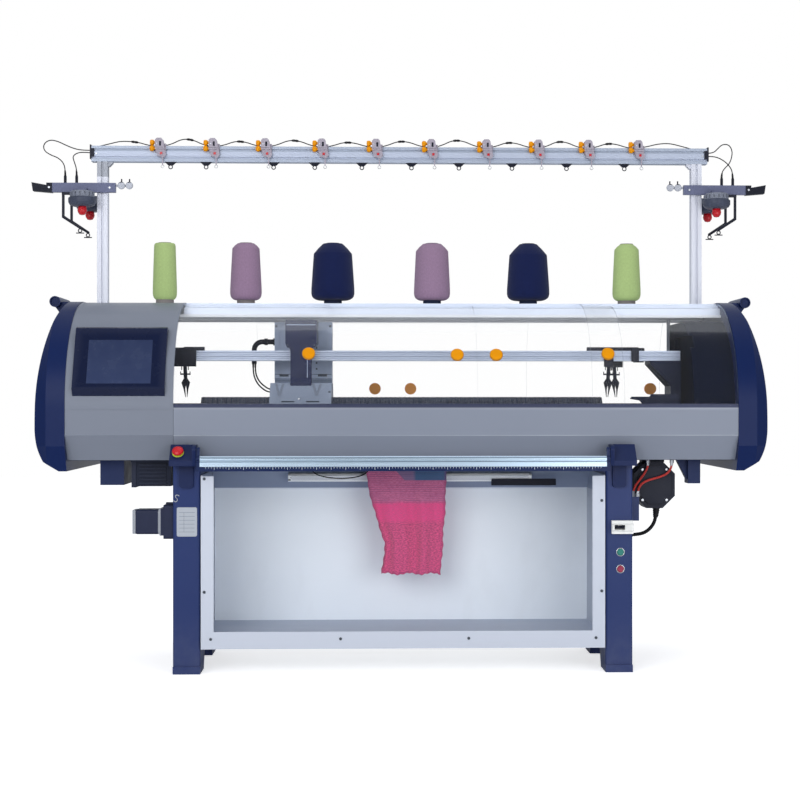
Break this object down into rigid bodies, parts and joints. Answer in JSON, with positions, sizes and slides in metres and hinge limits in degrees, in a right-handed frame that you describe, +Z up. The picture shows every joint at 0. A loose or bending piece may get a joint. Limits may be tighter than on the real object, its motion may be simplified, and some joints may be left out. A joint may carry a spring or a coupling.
{
  "type": "flat knitting machine",
  "caption": "Long flat knitting machine: curved clear sliding covers over a V bed, bridging carriage, yarn stand with cones, control screen, and a fabric bin between two legs",
  "frame": {"origin": "middle of the footprint at floor level", "axes": "X runs along the machine to the right as the operator sees it, Y points from the front to the back, Z points up"},
  "size_m": [2.8, 0.946, 1.9514],
  "materials": {
    "leg_paint": "satin blue",
    "frame_paint": "dark machined casting",
    "bin_paint": "pale grey blue",
    "lamp_body": "brushed channel",
    "cap_plastic": "navy moulding",
    "cover_paint": "light grey",
    "bezel_plastic": "dark navy",
    "screen_glass": "switched off screen",
    "table_paint": "near white sheet",
    "track_alloy": "extruded",
    "clear_plastic": "clear acrylic",
    "bed_steel": "ground steel",
    "feeder_black": "black",
    "carriage_grey": "light grey",
    "arm_navy": "navy",
    "hose_black": "matte",
    "wheel_steel": "turned",
    "roller_rubber": "matte",
    "bar_alloy": "extruded",
    "stop_red": "red",
    "start_green": "green",
    "off_red": "red",
    "breaker_white": "off white",
    "lever_black": "black",
    "sensor_plastic": "grey lilac",
    "knob_orange": "orange",
    "arm_alloy": "extruded",
    "lamp_red": "red lens",
    "yarn": "wound yarn",
    "tube_paper": "paper tube",
    "knit": "knitted marl",
    "hose_red": "air hose"
  },
  "bodies": {
    "machine": {"left_leg": "leg_paint", "right_leg": "leg_paint", "bed_frame": "frame_paint", "fabric_bin": "bin_paint", "work_lamp": "lamp_body", "left_end_cap": "cap_plastic", "right_end_cap": "cap_plastic", "control_cover": "cover_paint", "screen_bezel": "bezel_plastic", "touch_screen": "screen_glass", "skirts": "cover_paint", "yarn_table": "table_paint", "cover_tracks": "track_alloy", "front_needle_bed": "bed_steel", "feeder_rails": "track_alloy", "drive_belt": "hose_black", "main_motor": "feeder_black", "take_down_motor": "feeder_black", "bar_brackets": "cap_plastic", "breaker": "breaker_white", "posts": "track_alloy", "top_rail": "track_alloy", "rail_fittings": "feeder_black", "yarn_sensors": "sensor_plastic", "sensor_caps": "knob_orange", "sensor_lead": "hose_black", "side_bars": "arm_alloy", "storage_feeders": "feeder_black", "warning_lamps": "lamp_red", "feeder_arms": "wheel_steel", "yarn_cones": "yarn", "cone_tubes": "tube_paper", "knit_panel": "knit", "racking_drive": "feeder_black", "service_lines": "hose_red"},
    "carriage": {"carriage_tower": "carriage_grey", "cam_covers": "carriage_grey", "carriage_arm": "arm_navy", "carriage_hose": "hose_black"},
    "feeder_left": {"yarn_feeder_1": "feeder_black"},
    "feeder_front_right": {"yarn_feeder_2": "feeder_black"},
    "feeder_rear_right": {"yarn_feeder_3": "feeder_black"},
    "front_cover_a": {"front_cover_1": "clear_plastic"},
    "front_cover_b": {"front_cover_2": "clear_plastic"},
    "front_cover_c": {"front_cover_3": "clear_plastic"},
    "front_cover_d": {"front_cover_4": "clear_plastic"},
    "rear_cover_a": {"rear_cover_1": "clear_plastic"},
    "rear_cover_b": {"rear_cover_2": "clear_plastic"},
    "rear_cover_c": {"rear_cover_3": "clear_plastic"},
    "rear_cover_d": {"rear_cover_4": "clear_plastic"},
    "racking_bed": {"rear_needle_bed": "bed_steel"},
    "pulley_left": {"drive_pulley": "wheel_steel"},
    "pulley_right": {"idler_pulley": "wheel_steel"},
    "roller_front": {"take_down_roller": "roller_rubber"},
    "roller_rear": {"pressure_roller": "roller_rubber"},
    "start_rail": {"start_bar": "bar_alloy"},
    "stop_push": {"stop_button": "stop_red"},
    "start_push": {"start_button": "start_green"},
    "off_push": {"off_button": "off_red"},
    "breaker_toggle": {"breaker_lever": "lever_black"}
  },
  "joints": [
    {"name": "carriage_travel", "type": "slide", "parent": "machine", "child": "carriage", "axis": [1, 0, 0], "range_m": [-0.4, 1.14]},
    {"name": "feeder_1_travel", "type": "slide", "parent": "machine", "child": "feeder_left", "axis": [1, 0, 0], "range_m": [0, 0.7]},
    {"name": "feeder_2_travel", "type": "slide", "parent": "machine", "child": "feeder_front_right", "axis": [1, 0, 0], "range_m": [-0.7, 0]},
    {"name": "feeder_3_travel", "type": "slide", "parent": "machine", "child": "feeder_rear_right", "axis": [1, 0, 0], "range_m": [-0.7, 0]},
    {"name": "front_cover_1_slide", "type": "slide", "parent": "machine", "child": "front_cover_a", "axis": [1, 0, 0], "range_m": [0, 0.21]},
    {"name": "front_cover_2_slide", "type": "slide", "parent": "machine", "child": "front_cover_b", "axis": [1, 0, 0], "range_m": [-0.21, 0]},
    {"name": "front_cover_3_slide", "type": "slide", "parent": "machine", "child": "front_cover_c", "axis": [1, 0, 0], "range_m": [0, 0.2]},
    {"name": "front_cover_4_slide", "type": "slide", "parent": "machine", "child": "front_cover_d", "axis": [1, 0, 0], "range_m": [-0.1, 0]},
    {"name": "rear_cover_1_slide", "type": "slide", "parent": "machine", "child": "rear_cover_a", "axis": [1, 0, 0], "range_m": [-0.06, 0.12]},
    {"name": "rear_cover_2_slide", "type": "slide", "parent": "machine", "child": "rear_cover_b", "axis": [1, 0, 0], "range_m": [-0.3, 0]},
    {"name": "rear_cover_3_slide", "type": "slide", "parent": "machine", "child": "rear_cover_c", "axis": [1, 0, 0], "range_m": [0, 0.3]},
    {"name": "rear_cover_4_slide", "type": "slide", "parent": "machine", "child": "rear_cover_d", "axis": [1, 0, 0], "range_m": [-0.12, 0.1]},
    {"name": "bed_racking", "type": "slide", "parent": "machine", "child": "racking_bed", "axis": [1, 0, 0], "range_m": [-0.025, 0.025]},
    {"name": "drive_pulley_turn", "type": "hinge", "parent": "machine", "child": "pulley_left", "pos_m": [-1.07, 0.17, 0.845], "axis": [0, 1, 0], "range_deg": [-600, 1680]},
    {"name": "idler_pulley_turn", "type": "hinge", "parent": "machine", "child": "pulley_right", "pos_m": [1.07, 0.17, 0.845], "axis": [0, 1, 0], "range_deg": [-600, 1680]},
    {"name": "take_down_roller_turn", "type": "hinge", "parent": "machine", "child": "roller_front", "pos_m": [0, -0.1311, 0.712], "axis": [1, 0, 0], "continuous": true},
    {"name": "pressure_roller_turn", "type": "hinge", "parent": "machine", "child": "roller_rear", "pos_m": [0, -0.0889, 0.712], "axis": [1, 0, 0], "continuous": true},
    {"name": "start_bar_swing", "type": "hinge", "parent": "machine", "child": "start_rail", "pos_m": [0, -0.458, 0.778], "axis": [1, 0, 0], "range_deg": [-14, 9], "stiffness_Nm_per_rad": 4},
    {"name": "stop_button_press", "type": "slide", "parent": "machine", "child": "stop_push", "axis": [0, 0.7071, -0.7071], "range_m": [0, 0.004]},
    {"name": "start_button_press", "type": "slide", "parent": "machine", "child": "start_push", "axis": [0, 1, 0], "range_m": [0, 0.004], "stiffness_N_per_m": 600},
    {"name": "off_button_press", "type": "slide", "parent": "machine", "child": "off_push", "axis": [0, 1, 0], "range_m": [0, 0.004], "stiffness_N_per_m": 600},
    {"name": "breaker_switch", "type": "hinge", "parent": "machine", "child": "breaker_toggle", "pos_m": [0.762, -0.428, 0.507], "axis": [1, 0, 0], "range_deg": [0, 40]}
  ],
  "couplings": [
    {"joint": "pressure_roller_turn", "follows": "take_down_roller_turn", "ratio": -1},
    {"joint": "drive_pulley_turn", "follows": "carriage_travel", "rad_per_m": 25},
    {"joint": "idler_pulley_turn", "follows": "carriage_travel", "rad_per_m": 25}
  ]
}
